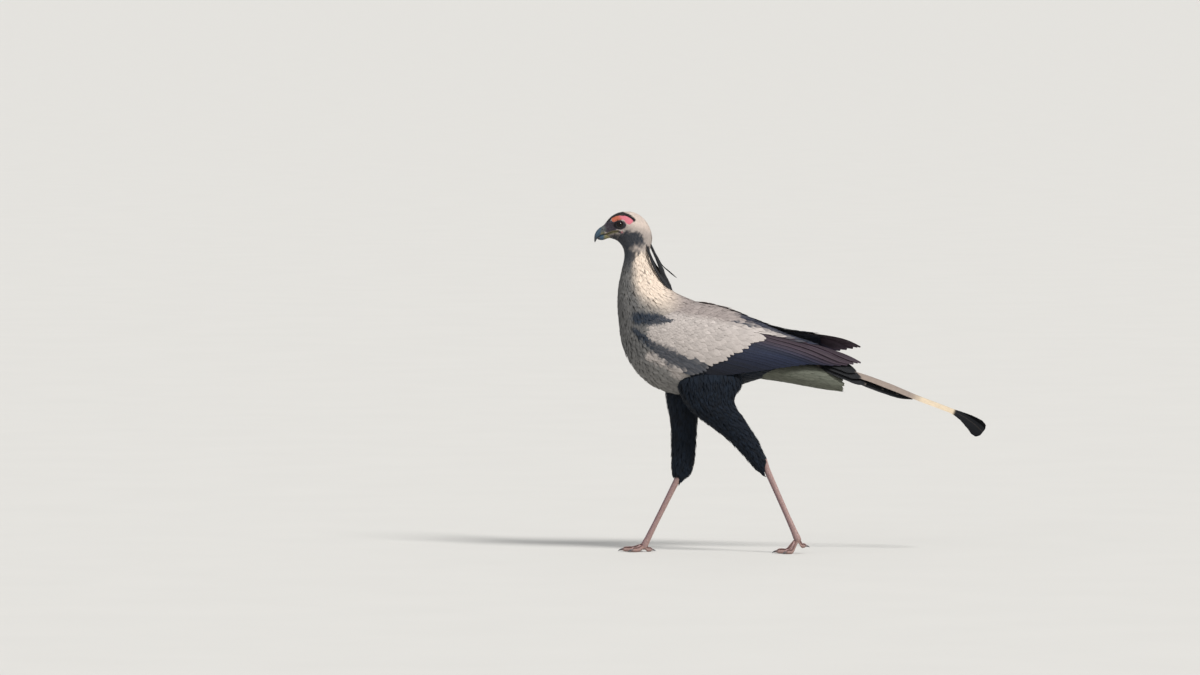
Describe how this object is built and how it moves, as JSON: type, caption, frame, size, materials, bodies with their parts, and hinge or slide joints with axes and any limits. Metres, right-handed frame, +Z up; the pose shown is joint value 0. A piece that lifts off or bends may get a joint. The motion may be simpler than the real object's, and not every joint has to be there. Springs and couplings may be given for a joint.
{
  "type": "secretary bird, life-size still model",
  "caption": "Long-legged walking bird of prey with a hooked bill, bare face patch, drooping nape crest, folded wings, dark feathered thighs and long trailing tail plumes.",
  "frame": {"origin": "on the ground, under the middle of the whole bird's bounding box", "axes": "+X runs from the bill to the tail, the bird faces -X; +Y is its right side; +Z is up"},
  "size_m": [1.2886, 0.2354, 1.1266],
  "materials": {
    "buff_plumage": "matte feather",
    "grey_plumage": "matte feather",
    "white_plumage": "matte, soft feather",
    "black_plumage": "feather with a faint sheen",
    "thigh_plumage": "matte, shaggy feather",
    "plume_cream": "feather with a faint sheen",
    "leg_skin": "scaled skin",
    "bill_horn": "polished horn",
    "bill_horn_pale": "polished horn",
    "claw_horn": "blunt, worn horn",
    "eye": "wet and clear over a dark iris"
  },
  "bodies": {
    "root": {"bill_lower": "bill_horn_pale", "bill_upper": "bill_horn", "claw_left_hind": "claw_horn", "claw_left_inner": "claw_horn", "claw_left_middle": "claw_horn", "claw_left_outer": "claw_horn", "claw_right_hind": "claw_horn", "claw_right_inner": "claw_horn", "claw_right_middle": "claw_horn", "claw_right_outer": "claw_horn", "crest_plume_1": "thigh_plumage", "crest_plume_2": "thigh_plumage", "crest_plume_3": "thigh_plumage", "eye_left": "eye", "eye_right": "eye", "head": "buff_plumage", "neck": "buff_plumage", "shank_left": "leg_skin", "shank_right": "leg_skin", "tail_fan": "black_plumage", "tail_plume_left": "plume_cream", "tail_plume_right": "plume_cream", "thigh_left": "thigh_plumage", "thigh_right": "thigh_plumage", "toe_left_hind": "leg_skin", "toe_left_inner": "leg_skin", "toe_left_middle": "leg_skin", "toe_left_outer": "leg_skin", "toe_right_hind": "leg_skin", "toe_right_inner": "leg_skin", "toe_right_middle": "leg_skin", "toe_right_outer": "leg_skin", "trunk": "grey_plumage", "undertail_coverts": "white_plumage", "wing_left_coverts": "grey_plumage", "wing_left_flight": "black_plumage", "wing_right_coverts": "grey_plumage", "wing_right_flight": "black_plumage"}
  },
  "joints": []
}
